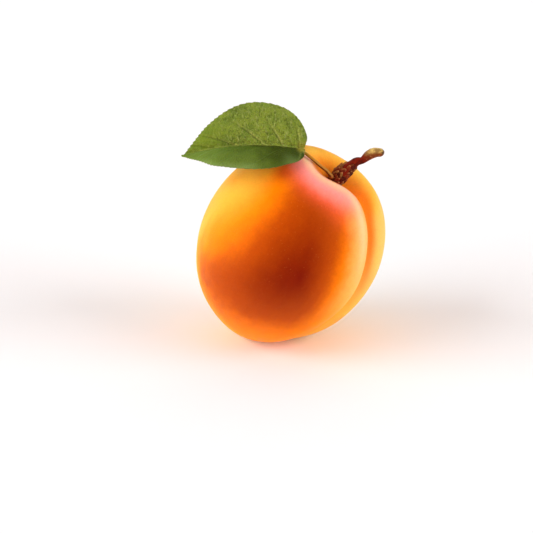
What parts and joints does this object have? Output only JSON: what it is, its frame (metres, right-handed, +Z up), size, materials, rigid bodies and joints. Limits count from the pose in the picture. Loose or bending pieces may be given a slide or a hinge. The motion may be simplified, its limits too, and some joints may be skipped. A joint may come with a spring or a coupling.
{
  "type": "apricot",
  "caption": "Ripe apricot lying on one cheek, with a deep suture between its lobes, the piece of woody spur it hung from, and a folded, finely toothed leaf.",
  "frame": {"origin": "middle of the small flat spot that the fruit rests on", "axes": "+Z up; the stem end leans towards +X; -Y is the side of the blushed cheek"},
  "size_m": [0.053, 0.0481, 0.0632],
  "materials": {
    "skin": "soft skin with fine down, golden to deep orange with a red blush",
    "bark": "rough red-brown bark, olive at the broken end",
    "leaf_green": "satin leaf, paler along its veins"
  },
  "bodies": {
    "root": {"fruit": "skin", "spur": "bark", "leaf": "leaf_green"}
  },
  "joints": []
}
